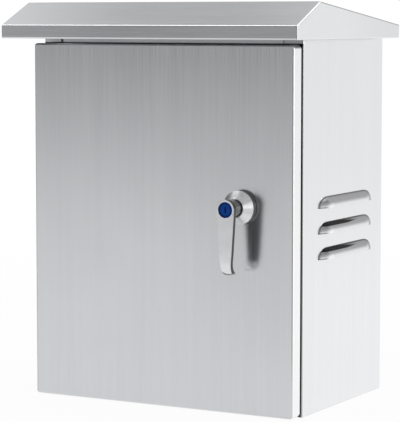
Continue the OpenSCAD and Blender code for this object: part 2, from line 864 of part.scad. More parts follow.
module each_gland_stud() {
    for (x = [-gland_stud_x, 0, gland_stud_x], s = [-1, 1])
        translate([x, entry_y + s * gland_stud_y, 0]) children();
}

// Outline of the gland plate and its gasket, with stud holes
module gland_outline() {
    difference() {
        translate([0, entry_y]) round_rect(entry_w + 2 * entry_border, entry_d + 2 * entry_border, entry_r);
        each_gland_stud() circle(r = m5[0] + slip_gap);
    }
}

module gland_gasket() {
    color("dimgrey") translate([0, 0, body_foot + sheet]) linear_extrude(gland_seal) difference() {
        gland_outline();
        translate([0, entry_y]) round_rect(entry_w, entry_d, entry_r);
    }
}

module gland_plate() {
    color("lightgrey") translate([0, 0, gland_z]) linear_extrude(gland_t) difference() {
        gland_outline();
        each_cable() circle(r = grommet_neck + run_gap);
    }
}

module gland_studs() {
    color("lightsteelblue") each_gland_stud() translate([0, 0, body_foot + sheet])
        cylinder(r = m5[0], h = gland_seal + gland_t + m5[2] + thread_end);
}

module gland_nuts() {
    color("slategrey") each_gland_stud() translate([0, 0, gland_top]) hex_nut(m5);
}

module each_cable() {
    for (s = [-1, 1]) translate([s * cable_pitch / 2, entry_y, 0]) children();
}

module cable_grommets() {
    foot = body_foot + slip_gap;
    cone_z = gland_top + grommet_cone;
    color("dimgrey") each_cable() rotate_extrude() polygon([
        [cable_r, foot], [grommet_lip, foot], [grommet_lip, gland_z], [grommet_neck, gland_z],
        [grommet_neck, gland_top], [grommet_lip, gland_top], [grommet_lip, gland_top + grommet_cone / 3],
        [cable_r + grommet_cone / 3, cone_z], [cable_r, cone_z]]);
}

// Earth studs

module at_earth() {
    translate([sheet - body_w / 2, earth_y, earth_z]) rotate([0, 90, 0]) children();
}

module at_door_earth() {
    along_y(door_earth_x, door_y + sheet, door_earth_z) children();
}

module weld_stud(m) {
    cylinder(r = weld_ratio * m[0], h = weld_base);
    translate([0, 0, weld_base]) cylinder(r = m[0], h = washer_t + m[2] + 2 * thread_end);
}

module weld_washer(m) {
    translate([0, 0, weld_base]) ring(washer_ratio * m[0], m[0] + slip_gap, washer_t);
}

module weld_nut(m) {
    translate([0, 0, weld_base + washer_t]) hex_nut(m);
}

module earth_stud() {
    color("peru") at_earth() weld_stud(m8);
}

module earth_washer() {
    color("peru") at_earth() weld_washer(m8);
}

module earth_nut() {
    color("peru") at_earth() weld_nut(m8);
}

module door_earth_stud() {
    color("peru") at_door_earth() weld_stud(m6);
}

module door_earth_washer() {
    color("peru") at_door_earth() weld_washer(m6);
}

module door_earth_nut() {
    color("peru") at_door_earth() weld_nut(m6);
}

body_wrap();
vent_screen_left();
vent_screen_right();
top_panel();
bottom_panel();
rain_hood();
hood_bracket_left();
hood_bracket_right();
hood_bolts();
hood_seal_washers();
hood_nuts();
door_panel();
door_gasket();
upper_hinge_body_leaf();
upper_hinge_door_leaf();
upper_hinge_pin();
lower_hinge_body_leaf();
lower_hinge_door_leaf();
lower_hinge_pin();
hinge_screws();
hinge_nuts();
lock_rosette();
lock_seal();
lock_washer();
lock_nut();
lock_handle();
lock_spindle();
lock_cam();
cam_washer();
cam_screw();
key_plug();
plug_cap();
mounting_plate();
plate_studs();
plate_washers();
plate_nuts();
gland_plate();
gland_gasket();
gland_studs();
gland_nuts();
cable_grommets();
earth_stud();
earth_washer();
earth_nut();
door_earth_stud();
door_earth_washer();
door_earth_nut();
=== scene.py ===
import math

import bpy
from mathutils import Euler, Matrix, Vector


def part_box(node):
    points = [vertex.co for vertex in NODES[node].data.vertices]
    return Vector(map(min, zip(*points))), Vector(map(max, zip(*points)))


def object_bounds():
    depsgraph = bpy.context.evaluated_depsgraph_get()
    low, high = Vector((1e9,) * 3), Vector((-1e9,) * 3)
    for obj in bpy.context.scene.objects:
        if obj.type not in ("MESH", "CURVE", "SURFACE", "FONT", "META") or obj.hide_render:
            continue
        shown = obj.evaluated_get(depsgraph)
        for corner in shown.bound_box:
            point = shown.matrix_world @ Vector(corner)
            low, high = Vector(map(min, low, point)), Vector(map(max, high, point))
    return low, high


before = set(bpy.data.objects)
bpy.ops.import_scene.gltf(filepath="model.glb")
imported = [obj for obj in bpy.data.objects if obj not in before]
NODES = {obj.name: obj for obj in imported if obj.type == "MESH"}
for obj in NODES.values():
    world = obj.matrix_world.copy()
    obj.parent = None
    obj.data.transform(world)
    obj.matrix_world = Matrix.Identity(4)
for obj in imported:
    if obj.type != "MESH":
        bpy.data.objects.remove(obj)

CAD_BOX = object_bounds()

# Places on the part, in metres

FLOOR_Z = CAD_BOX[0].z
LOCK = sum(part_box("lock_rosette"), Vector()) / 2
DOOR_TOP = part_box("door_panel")[1].z
DOOR_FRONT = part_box("door_panel")[0].y
SIDE_X = 0.2
FLANGE_Y = -0.248
SEAM_X = -0.1705
LIP_Z = -0.047
LOUVRE_PITCH = 0.034

# Colours: a pair is the dark and the light end of a finish

WHITE = (1.0, 1.0, 1.0)
BLACK = (0.0, 0.0, 0.0)
SHEET = ((0.626, 0.632, 0.650), (0.712, 0.718, 0.736))
# Painted light: the sheet's faces that look along X are painted lighter than its front
LIT_SHEET_SIDES = ((0.828, 0.833, 0.846), (0.892, 0.896, 0.907))
SHADED_SHEET = ((0.662, 0.670, 0.691), (0.749, 0.756, 0.778))
DOOR_FACE = ((0.596, 0.603, 0.622), (0.680, 0.687, 0.706))
# Painted light: the door's faces that look along X are painted lighter than its front
LIT_DOOR_SIDES = ((0.925, 0.928, 0.936), (0.972, 0.974, 0.980))
# Painted shade on the louvres' front ends, shoulders, feet, rear ends and creases
LOUVRE_END_SHADE = (0.66, 0.664, 0.675)
LOUVRE_SHOULDER_SHADE = (0.24, 0.242, 0.25)
LOUVRE_FOOT_SHADE = (0.16, 0.161, 0.165)
LOUVRE_REAR_SHADE = (0.15, 0.151, 0.155)
LOUVRE_CREASE_SHADE = (0.11, 0.11, 0.115)
# Painted black reflection on the tops of the lower louvres
LOUVRE_REFLECTION_BLACK = (0.006, 0.006, 0.007)
# Painted shade along the door's edges on the front flange, and the flange's dark seam
SHADE_AND_SEAM_DARK = (0.018, 0.018, 0.019)
# Painted light on the lever: a lighter lower face and a bluish highlight round the cap; painted shade on
# the sides, back, neck and the tip's rim
LEVER_FACE = ((0.578, 0.586, 0.603), (0.715, 0.722, 0.739))
LEVER_LOW_FACE_LIT = ((0.660, 0.667, 0.684), (0.796, 0.802, 0.816))
LEVER_SIDES_SHADE = ((0.185, 0.189, 0.181), (0.350, 0.355, 0.343))
LEVER_BACK_SHADE = (0.08, 0.082, 0.08)
LEVER_NECK_SHADE = (0.46, 0.468, 0.455)
LEVER_COLLAR_HIGHLIGHT = (0.66, 0.73, 0.88)
LEVER_CURL = (0.72, 0.725, 0.735)
LEVER_RIM_SHADE = (0.13, 0.132, 0.136)
# Painted light on the rosette: a lighter lower right of the cone, and a rim painted dark as shade
CONE = ((0.50, 0.506, 0.52), (0.765, 0.770, 0.780))
CONE_LOW_LIT = ((0.74, 0.745, 0.755), (0.97, 0.972, 0.976))
CONE_RIM_SHADE = ((0.14, 0.142, 0.146), (0.30, 0.303, 0.31))
ZINC_GREY = ((0.46, 0.475, 0.50), (0.68, 0.69, 0.70))
HINGE_GREY = ((0.42, 0.425, 0.435), (0.60, 0.605, 0.61))
BRASS_YELLOW = ((0.56, 0.40, 0.16), (0.78, 0.60, 0.30))
SPANGLE = ((0.50, 0.515, 0.53), (0.72, 0.73, 0.74))
FOAM_BLACK = ((0.012, 0.012, 0.013), (0.04, 0.04, 0.042))
RUBBER_BLACK = ((0.010, 0.010, 0.011), (0.028, 0.028, 0.03))
CAP_BLUE = ((0.001, 0.040, 0.24), (0.003, 0.075, 0.36))
CAP_RIM = (0.001, 0.012, 0.085)

# Roughness: a pair is the smooth and the rough end of a finish

SHEET_ROUGH = (0.17, 0.27)
LOUVRE_SMOOTHER = 0.6
CREASE_ROUGH = 0.55
LEVER_ROUGH = (0.16, 0.24)
CASTING_ROUGHER = 0.14
CONE_ROUGH = (0.34, 0.46)
PLATED_ROUGH = (0.25, 0.42)
SPANGLE_ROUGH = (0.34, 0.5)
FOAM_ROUGH = (0.75, 0.95)
RUBBER_ROUGH = (0.45, 0.65)
CAP_ROUGH = (0.40, 0.52)

# Limits that several finishes share

AXES = {"x": (1.0, 0.0, 0.0), "z": (0.0, 0.0, 1.0)}
NOISE_SPAN = (0.3, 0.7)
LINES_SPAN = (0.25, 0.75)
SIDE_FACING = (0.5, 0.95)
EDGE_COSINE = (0.80, 0.995)


# Node helpers

def new_material(name):
    mat = bpy.data.materials.new(name)
    mat.use_nodes = True
    tree = mat.node_tree
    tree.nodes.clear()
    return mat, tree


def add(tree, kind, **settings):
    node = tree.nodes.new(kind)
    for key, value in settings.items():
        setattr(node, key, value)
    return node


def put(tree, socket, value):
    if isinstance(value, bpy.types.NodeSocket):
        tree.links.new(value, socket)
    else:
        socket.default_value = value


def math_node(tree, op, a, b=0.0, clamp=False):
    node = add(tree, "ShaderNodeMath", operation=op, use_clamp=clamp)
    put(tree, node.inputs[0], a)
    put(tree, node.inputs[1], b)
    return node.outputs[0]


def vector_node(tree, op, a, b=(0.0, 0.0, 0.0)):
    node = add(tree, "ShaderNodeVectorMath", operation=op)
    put(tree, node.inputs[0], a)
    put(tree, node.inputs[1], b)
    return node.outputs["Value" if op in ("DOT_PRODUCT", "LENGTH") else "Vector"]


def times(tree, *values):
    total = values[0]
    for value in values[1:]:
        total = math_node(tree, "MULTIPLY", total, value)
    return total


def weighed(tree, *pairs):
    """Sum of values, each times its weight."""
    total = times(tree, *pairs[0])
    for pair in pairs[1:]:
        total = math_node(tree, "ADD", total, times(tree, *pair))
    return total


def less(tree, value):
    """What is left of 1."""
    return math_node(tree, "SUBTRACT", 1.0, value)


def size_of(tree, value):
    return math_node(tree, "ABSOLUTE", value)


def fit_range(tree, value, start, end, at_start, at_end):
    """Goes smoothly from at_start to at_end while value goes from start to end."""
    node = add(tree, "ShaderNodeMapRange", interpolation_type="SMOOTHSTEP")
    for socket, setting in zip(node.inputs[:5], (value, start, end, at_start, at_end)):
        put(tree, socket, setting)
    return node.outputs[0]


def rising(tree, value, start, end):
    return fit_range(tree, value, start, end, 0.0, 1.0)


def falling(tree, value, start, end):
    return fit_range(tree, value, start, end, 1.0, 0.0)


def between(tree, value, start, full, fade, end):
    """1 from full to fade, 0 before start and past end."""
    return times(tree, rising(tree, value, start, full), falling(tree, value, fade, end))


def blend(tree, fac, a, b):
    """Colour a where fac is 0, colour b where it is 1."""
    node = add(tree, "ShaderNodeMix", data_type="RGBA")
    put(tree, node.inputs["Factor"], fac)
    for socket, color in (("A", a), ("B", b)):
        put(tree, node.inputs[socket], (*color, 1.0) if isinstance(color, tuple) else color)
    return node.outputs["Result"]


def object_coords(tree):
    return add(tree, "ShaderNodeTexCoord").outputs["Object"]


def place_of(tree, coords):
    node = add(tree, "ShaderNodeSeparateXYZ")
    put(tree, node.inputs[0], coords)
    return node.outputs


def reach(tree, place, direction):
    """How far a place lies in a level direction."""
    return weighed(tree, (place["X"], direction[0]), (place["Y"], direction[1]))


def change_frame(tree, vector, kind, source, target):
    node = add(tree, "ShaderNodeVectorTransform", vector_type=kind, convert_from=source, convert_to=target)
    put(tree, node.inputs[0], vector)
    return node.outputs[0]


def normal_of(tree):
    """The surface's own normal, in the piece's frame."""
    normal = add(tree, "ShaderNodeNewGeometry").outputs["Normal"]
    return place_of(tree, change_frame(tree, normal, "NORMAL", "WORLD", "OBJECT"))


def from_lock(tree, coords):
    return vector_node(tree, "SUBTRACT", coords, LOCK)


def lock_radius(tree, coords):
    """Distance from the lock's axis, which runs along Y."""
    flat = vector_node(tree, "MULTIPLY", from_lock(tree, coords), (1.0, 0.0, 1.0))
    return vector_node(tree, "LENGTH", flat)


def noise(tree, coords, scale, detail=3.0, rough=0.6):
    node = add(tree, "ShaderNodeTexNoise")
    put(tree, node.inputs["Vector"], coords)
    node.inputs["Scale"].default_value = scale
    node.inputs["Detail"].default_value = detail
    node.inputs["Roughness"].default_value = rough
    return node.outputs[0]


def brush_lines(tree, coords, axis, width, length, detail, rough=0.6):
    """Noise drawn out along an axis, into lines of about this width and length in metres."""
    node = add(tree, "ShaderNodeMapping")
    put(tree, node.inputs["Vector"], coords)
    node.inputs["Scale"].default_value = tuple(1.0 / (length if a else width) for a in AXES[axis])
    return noise(tree, node.outputs[0], 1.0, detail, rough)


def edge_mask(tree, radius):
    """1 within about radius of a sharp edge and 0 on the flat, and the normal rounded there."""
    bevel = add(tree, "ShaderNodeBevel", samples=4)
    bevel.inputs["Radius"].default_value = radius
    rounded = bevel.outputs[0]
    flat = add(tree, "ShaderNodeNewGeometry").outputs["Normal"]
    return falling(tree, vector_node(tree, "DOT_PRODUCT", rounded, flat), *EDGE_COSINE), rounded


def edge_lit(tree, tone, edges, share):
    """A tone made lighter along the edges."""
    return math_node(tree, "ADD", tone, times(tree, edges, share), clamp=True)


def bumped(tree, height, normal, strength, distance=0.0001):
    node = add(tree, "ShaderNodeBump")
    node.inputs["Strength"].default_value = strength
    node.inputs["Distance"].default_value = distance
    put(tree, node.inputs["Height"], height)
    if normal is not None:
        put(tree, node.inputs["Normal"], normal)
    return node.outputs[0]


def principled(tree, color, rough, normal, metallic, **fixed):
    shader = add(tree, "ShaderNodeBsdfPrincipled")
    put(tree, shader.inputs["Base Color"], color)
    put(tree, shader.inputs["Roughness"], rough)
    put(tree, shader.inputs["Normal"], normal)
    shader.inputs["Metallic"].default_value = metallic
    for key, value in fixed.items():
        shader.inputs[key.replace("_", " ")].default_value = value
    out = add(tree, "ShaderNodeOutputMaterial")
    tree.links.new(shader.outputs[0], out.inputs["Surface"])
    return shader


# Brushed sheet

def brushed_steel(name, axis, tones, sides=None, marks=(), bend=None, bump=0.1, soft=True):
    """Brushed sheet. sides gives the faces that look along X lighter tones of their own, painted light for
    the light that falls on them; marks change colour and roughness by place, bend tilts the sheet by place,
    and soft rounds the shading of sharp edges."""
    mat, tree = new_material(name)
    coords = object_coords(tree)
    hair = brush_lines(tree, coords, axis, width=0.0005, length=0.06, detail=2.0)
    streak = brush_lines(tree, coords, axis, width=0.0019, length=0.16, detail=4.0, rough=0.65)
    band = brush_lines(tree, coords, axis, width=0.014, length=0.6, detail=2.0)
    cloud = noise(tree, coords, scale=5.0)
    lines = weighed(tree, (streak, 0.55), (hair, 0.45))
    tone = rising(tree, weighed(tree, (lines, 0.7), (band, 0.2), (cloud, 0.1)), *LINES_SPAN)
    edges, rounded = edge_mask(tree, radius=0.0008)
    tone = edge_lit(tree, tone, edges, share=0.35)
    color = blend(tree, tone, *tones)
    # Painted light: faces that look along X take the lighter side tones
    if sides is not None:
        across = rising(tree, size_of(tree, normal_of(tree)["X"]), *SIDE_FACING)
        color = blend(tree, across, color, blend(tree, tone, *sides))
    roughness = fit_range(tree, weighed(tree, (lines, 0.7), (cloud, 0.3)), *NOISE_SPAN, *SHEET_ROUGH)
    for mark in marks:
        color, roughness = mark(tree, coords, color, roughness)
    normal = bumped(tree, lines, rounded if soft else None, strength=bump)
    if bend is not None:
        normal = bend(tree, coords, normal)
    shader = principled(tree, color, roughness, normal, metallic=1.0, Anisotropic=0.35)
    direction = add(tree, "ShaderNodeCombineXYZ")
    for socket, value in zip(direction.inputs, AXES[axis]):
        socket.default_value = value
    tree.links.new(direction.outputs[0], shader.inputs["Tangent"])
    return mat


# Lean of the door's sheet: how much, and where round the lock it sets in and fades

LEAN = 0.031
LEAN_X = (-0.09, -0.01, 0.046, 0.068)
LEAN_MIDDLE_Z = -0.025
LEAN_HALF_Z = (0.06, 0.15)


def pulled_sheet(tree, coords, normal):
    """Round the lock the door's sheet leans a little to the right, pulled in by the lock's nut."""
    apart = place_of(tree, from_lock(tree, coords))
    beside = between(tree, apart["X"], *LEAN_X)
    height = size_of(tree, math_node(tree, "SUBTRACT", apart["Z"], LEAN_MIDDLE_Z))
    lean = add(tree, "ShaderNodeCombineXYZ")
    put(tree, lean.inputs["X"], times(tree, beside, falling(tree, height, *LEAN_HALF_Z), LEAN))
    turned = change_frame(tree, lean.outputs[0], "VECTOR", "OBJECT", "WORLD")
    return vector_node(tree, "NORMALIZE", vector_node(tree, "ADD", normal, turned))


# Painted light and shade on the louvres, by distance out of the side, height over the lip and the way the
# surface looks

RAISED_OUT = (0.0002, 0.0005)
CREASE_OUT = (0.0010, 0.0030)
FRONT_FACING = (-0.12, -0.30)
REAR_FACING = (0.04, 0.24)
SHOULDER_FACING = (-0.04, -0.16)
SHOULDER_RISE = (0.28, 0.46)
FOOT_HEIGHT = (0.0008, 0.0022)
SPOT_Y = (-0.186, -0.180, -0.176, -0.166)
SPOT_HEIGHT = (0.004, 0.008)
LOWER_TWO_Z = (0.008, 0.012)
BAND_START_Y = (-0.198, -0.193)
BAND_FOOT = (-0.130, -0.078, 0.0092, 0.0116)
BAND_HEAD = (-0.150, -0.082, 0.0150, 0.0117)
BAND_FOOT_FADE = (-0.0004, 0.0008)
BAND_HEAD_FADE = (-0.0018, 0.0006)


def louvre_painted_light(tree, coords, color, roughness):
    """Pressed louvres: smoother metal, painted shade in a crease round each, on the ends and on the front
    shoulders and feet, a painted highlight near the front of each lip and painted black reflections on the
    tops of the lower two."""
    at = place_of(tree, coords)
    normal = normal_of(tree)
    out = math_node(tree, "SUBTRACT", size_of(tree, at["X"]), SIDE_X)
    height = math_node(tree, "FLOORED_MODULO", math_node(tree, "SUBTRACT", at["Z"], LIP_Z), LOUVRE_PITCH)
    raised = rising(tree, out, *RAISED_OUT)
    # Painted shade in the crease round each louvre, on its ends, shoulders and feet, and a painted
    # highlight near the front of each lip
    crease = times(tree, raised, falling(tree, out, *CREASE_OUT))
    front_end = times(tree, raised, rising(tree, normal["Y"], *FRONT_FACING))
    rear_end = times(tree, raised, rising(tree, normal["Y"], *REAR_FACING))
    shoulder = times(tree, raised, rising(tree, normal["Y"], *SHOULDER_FACING),
                     rising(tree, normal["Z"], *SHOULDER_RISE))
    foot = times(tree, front_end, falling(tree, height, *FOOT_HEIGHT))
    painted_highlight = times(tree, raised, between(tree, at["Y"], *SPOT_Y), falling(tree, height, *SPOT_HEIGHT))
    # Painted black reflection in a band on the tops of the lower two louvres
    over_foot = math_node(tree, "SUBTRACT", height, fit_range(tree, at["Y"], *BAND_FOOT))
    over_head = math_node(tree, "SUBTRACT", height, fit_range(tree, at["Y"], *BAND_HEAD))
    band = times(tree, raised, falling(tree, at["Z"], *LOWER_TWO_Z), rising(tree, at["Y"], *BAND_START_Y),
                 rising(tree, over_foot, *BAND_FOOT_FADE), falling(tree, over_head, *BAND_HEAD_FADE))
    layers = (
        (painted_highlight, 1.0, WHITE), (front_end, 0.6, LOUVRE_END_SHADE), (shoulder, 0.6, LOUVRE_SHOULDER_SHADE),
        (foot, 0.8, LOUVRE_FOOT_SHADE), (rear_end, 0.9, LOUVRE_REAR_SHADE), (crease, 0.85, LOUVRE_CREASE_SHADE),
        (band, 1.0, LOUVRE_REFLECTION_BLACK),
    )
    for mask, share, paint in layers:
        color = blend(tree, times(tree, mask, share), color, paint)
    smooth = times(tree, roughness, fit_range(tree, raised, 0.0, 1.0, 1.0, LOUVRE_SMOOTHER))
    return color, math_node(tree, "MAXIMUM", smooth, times(tree, crease, CREASE_ROUGH))


# Painted shade on the front flange, and its dark seam: where they set in and fade

SHADE_AND_SEAM_SHARE = 0.95
FLANGE_FACE_Y = (FLANGE_Y + 0.0002, FLANGE_Y + 0.0010)
UP_TO_Z = (DOOR_TOP + 0.0006, DOOR_TOP + 0.0018)
LINE_Z = (DOOR_TOP - 0.002, DOOR_TOP - 0.001)
SEAM_HALF_X = (0.0013, 0.0019)
GAP_X = (SIDE_X - 0.0066, SIDE_X - 0.0056, SIDE_X - 0.0028, SIDE_X - 0.0004)
GAP_Y = (FLANGE_Y + 0.0006, FLANGE_Y + 0.0018)
FOLD_X = (SIDE_X - 0.0036, SIDE_X - 0.0026)
FOLD_Y = (FLANGE_Y + 0.0008, FLANGE_Y + 0.0017)
FOLD_SHARE = 0.5


def flange_shade_and_seam(tree, coords, color, roughness):
    """Painted shade on the front flange: dark lines along the door's edges, with a grey strip of painted
    shade on the fold beside them; and a dark seam where the rail over the door ends."""
    at = place_of(tree, coords)
    wide = size_of(tree, at["X"])
    low = falling(tree, at["Z"], *UP_TO_Z)
    line = times(tree, low, rising(tree, at["Z"], *LINE_Z))
    seam = falling(tree, size_of(tree, math_node(tree, "SUBTRACT", at["X"], SEAM_X)), *SEAM_HALF_X)
    gap = times(tree, between(tree, wide, *GAP_X), low, falling(tree, at["Y"], *GAP_Y))
    fold = times(tree, rising(tree, wide, *FOLD_X), FOLD_SHARE, low, falling(tree, at["Y"], *FOLD_Y))
    across = times(tree, math_node(tree, "MAXIMUM", line, seam), falling(tree, at["Y"], *FLANGE_FACE_Y))
    # Painted shade in the lines, gap and fold, together with the seam's own dark
    shade_and_seam = math_node(tree, "MAXIMUM", across, math_node(tree, "MAXIMUM", gap, fold))
    return blend(tree, times(tree, shade_and_seam, SHADE_AND_SEAM_SHARE), color, SHADE_AND_SEAM_DARK), roughness


# Painted shade on the hood: where it sets in and fades, and its share of black

FASCIA_FACING = (-0.98, -0.90)
FASCIA_MIDDLE = (0.03, 0.17, 0.08, 0.0)
GABLE_FACING = (0.90, 0.98)
GABLE_BACK = (-0.22, -0.03, 0.0, 0.07)


def fascia_shade(tree, coords, color, roughness):
    """Painted shade: the hood's front edge is a little darker in its middle, and its gables towards the
    back.
    """
    at = place_of(tree, coords)
    normal = normal_of(tree)
    front = falling(tree, normal["Y"], *FASCIA_FACING)
    gable = rising(tree, size_of(tree, normal["X"]), *GABLE_FACING)
    # Painted shade on the front edge's middle and the gables' back
    painted_shade = weighed(tree, (front, fit_range(tree, size_of(tree, at["X"]), *FASCIA_MIDDLE)),
                   (gable, fit_range(tree, at["Y"], *GABLE_BACK)))
    return blend(tree, painted_shade, color, BLACK), roughness


# Painted light and shade on the lock's handle, by the way the surface looks, drop below the lock's axis and
# distance from it

LEVER_FRONT_FACING = (-0.75, -0.35)
LEVER_REAR_FACING = (0.2, 0.6, 0.0, 0.45)
LOW_FACE_DROP = (0.040, 0.074)
COLLAR_RADIUS = (0.0110, 0.0124, 0.5, 0.0)
NECK_RADIUS = (0.0108, 0.0116, 0.32, 0.0)
CURL_DROP = (0.0755, 0.0775)
CURL_FACING = (0.2, 0.5)
RIM_DROP = (0.0826, 0.0838, 0.0, 0.9)
RIM_CORNER_X = LOCK.x - 0.0015
RIM_SLANT = 0.45


def handle_chrome(name):
    """Satin chrome on the faces that look out of the door, painted lighter low down, with a painted bluish
    highlight round the cap and a rim of painted shade at the tip; the sides and back are rougher, and
    painted dark as shade, less dark at the neck and darkest on the back."""
    mat, tree = new_material(name)
    coords = object_coords(tree)
    at = place_of(tree, coords)
    facing = normal_of(tree)["Y"]
    radius = lock_radius(tree, coords)
    drop = math_node(tree, "SUBTRACT", LOCK.z, at["Z"])
    grain = brush_lines(tree, coords, "z", width=0.0006, length=0.012, detail=3.0)
    cloud = noise(tree, coords, scale=60.0)
    edges, rounded = edge_mask(tree, radius=0.0007)
    tone = edge_lit(tree, weighed(tree, (cloud, 0.5), (grain, 0.3)), edges, share=0.3)
    front = falling(tree, facing, *LEVER_FRONT_FACING)
    # Painted light: the lower part of the face is painted lighter
    face = blend(tree, rising(tree, drop, *LOW_FACE_DROP), blend(tree, tone, *LEVER_FACE),
                 blend(tree, tone, *LEVER_LOW_FACE_LIT))
    # Painted bluish highlight on the ring round the cap
    face = blend(tree, fit_range(tree, radius, *COLLAR_RADIUS), face, LEVER_COLLAR_HIGHLIGHT)
    # Painted shade on the sides and back, less dark at the neck and darkest on the back
    sides_shade = blend(tree, tone, *LEVER_SIDES_SHADE)
    sides_shade = blend(tree, fit_range(tree, radius, *NECK_RADIUS), sides_shade, LEVER_NECK_SHADE)
    sides_shade = blend(tree, fit_range(tree, facing, *LEVER_REAR_FACING), sides_shade, LEVER_BACK_SHADE)
    color = blend(tree, front, sides_shade, face)
    curl = times(tree, rising(tree, drop, *CURL_DROP), rising(tree, facing, *CURL_FACING))
    color = blend(tree, curl, color, LEVER_CURL)
    # Painted shade: a dark rim along the tip's underside
    corner = math_node(tree, "MAXIMUM", math_node(tree, "SUBTRACT", RIM_CORNER_X, at["X"]), 0.0)
    slanted = math_node(tree, "ADD", drop, times(tree, corner, RIM_SLANT))
    color = blend(tree, times(tree, front, fit_range(tree, slanted, *RIM_DROP)), color, LEVER_RIM_SHADE)
    roughness = math_node(tree, "ADD", fit_range(tree, cloud, *NOISE_SPAN, *LEVER_ROUGH),
                          fit_range(tree, front, 0.0, 1.0, CASTING_ROUGHER, 0.0))
    principled(tree, color, roughness, bumped(tree, grain, rounded, strength=0.05), metallic=1.0)
    return mat


# The rosette's cone: the way it looks, its span of tones, and where round the lock's axis it is painted
# lighter

CONE_FACING = (-0.5, -0.2)
CONE_TONES = (0.0, 0.9)
CONE_LOW_Z = (0.008, -0.010)
CONE_LOW_X = (0.0, 0.010, 0.25, 1.0)


def turned_chrome(name):
    """Lathe-turned cone with fine rings round the lock's axis, painted light at the lower right, on a rim
    of painted shade.
    """
    mat, tree = new_material(name)
    coords = object_coords(tree)
    outward = from_lock(tree, coords)
    apart = place_of(tree, outward)
    ring = add(tree, "ShaderNodeTexNoise", noise_dimensions="1D")
    put(tree, ring.inputs["W"], lock_radius(tree, coords))
    ring.inputs["Scale"].default_value = 2600.0
    ring.inputs["Detail"].default_value = 3.0
    rings = ring.outputs[0]
    patch = noise(tree, coords, scale=260.0)
    edges, rounded = edge_mask(tree, radius=0.0006)
    tone = fit_range(tree, weighed(tree, (rings, 0.65), (patch, 0.35)), *NOISE_SPAN, *CONE_TONES)
    tone = edge_lit(tree, tone, edges, share=0.4)
    # Painted light at the lower right of the cone
    low = times(tree, rising(tree, apart["Z"], *CONE_LOW_Z), fit_range(tree, apart["X"], *CONE_LOW_X))
    cone = blend(tree, low, blend(tree, tone, *CONE), blend(tree, tone, *CONE_LOW_LIT))
    front = falling(tree, normal_of(tree)["Y"], *CONE_FACING)
    # Painted shade on the rim
    color = blend(tree, front, blend(tree, tone, *CONE_RIM_SHADE), cone)
    roughness = fit_range(tree, rings, *NOISE_SPAN, *CONE_ROUGH)
    normal = bumped(tree, rings, rounded, strength=0.25)
    shader = principled(tree, color, roughness, normal, metallic=1.0, Anisotropic=0.6)
    tree.links.new(outward, shader.inputs["Tangent"])
    return mat


# Hardware, plates, foam and rubber

def plated_steel(name, tones):
    mat, tree = new_material(name)
    coords = object_coords(tree)
    cloud = noise(tree, coords, scale=140.0, detail=4.0)
    grain = noise(tree, coords, scale=1400.0, detail=2.0)
    edges, rounded = edge_mask(tree, radius=0.0004)
    color = blend(tree, edge_lit(tree, times(tree, cloud, 0.8), edges, share=0.35), *tones)
    roughness = fit_range(tree, cloud, *NOISE_SPAN, *PLATED_ROUGH)
    principled(tree, color, roughness, bumped(tree, grain, rounded, strength=0.1), metallic=1.0)
    return mat


def spangled_zinc(name):
    """Galvanised sheet: each crystal has its own tone, roughness and height."""
    mat, tree = new_material(name)
    coords = object_coords(tree)
    crystals = add(tree, "ShaderNodeTexVoronoi")
    put(tree, crystals.inputs["Vector"], coords)
    crystals.inputs["Scale"].default_value = 110.0
    parts = add(tree, "ShaderNodeSeparateColor")
    tree.links.new(crystals.outputs["Color"], parts.inputs[0])
    bright, rough, height = parts.outputs
    cloud = noise(tree, coords, scale=9.0)
    rounded = edge_mask(tree, radius=0.0006)[1]
    color = blend(tree, weighed(tree, (bright, 0.6), (cloud, 0.4)), *SPANGLE)
    roughness = fit_range(tree, rough, 0.0, 1.0, *SPANGLE_ROUGH)
    principled(tree, color, roughness, bumped(tree, height, rounded, strength=0.05), metallic=1.0)
    return mat


def soft_black(name, tones, rough, scale, strength):
    """Foam or rubber, with pores of this scale and depth."""
    mat, tree = new_material(name)
    coords = object_coords(tree)
    pores = noise(tree, coords, scale)
    cloud = noise(tree, coords, scale=40.0)
    rounded = edge_mask(tree, radius=0.0006)[1]
    color = blend(tree, rising(tree, weighed(tree, (pores, 0.5), (cloud, 0.5)), *NOISE_SPAN), *tones)
    roughness = fit_range(tree, pores, *NOISE_SPAN, *rough)
    normal = bumped(tree, pores, rounded, strength, distance=0.0003)
    principled(tree, color, roughness, normal, metallic=0.0)
    return mat


# The cap: where its outer ring darkens

CAP_RIM_RADIUS = (0.0072, 0.0080, 0.0, 0.75)


def moulded_blue(name):
    """Blue plastic, darker in the cap's outer ring."""
    mat, tree = new_material(name)
    coords = object_coords(tree)
    grain = noise(tree, coords, scale=1800.0)
    cloud = noise(tree, coords, scale=120.0, detail=2.0)
    edges, rounded = edge_mask(tree, radius=0.0003)
    color = blend(tree, edge_lit(tree, times(tree, cloud, 0.6), edges, share=0.4), *CAP_BLUE)
    color = blend(tree, fit_range(tree, lock_radius(tree, coords), *CAP_RIM_RADIUS), color, CAP_RIM)
    roughness = fit_range(tree, grain, *NOISE_SPAN, *CAP_ROUGH)
    normal = bumped(tree, grain, rounded, strength=0.08)
    principled(tree, color, roughness, normal, metallic=0.0, Specular_IOR_Level=0.12)
    return mat


# Finish of each piece

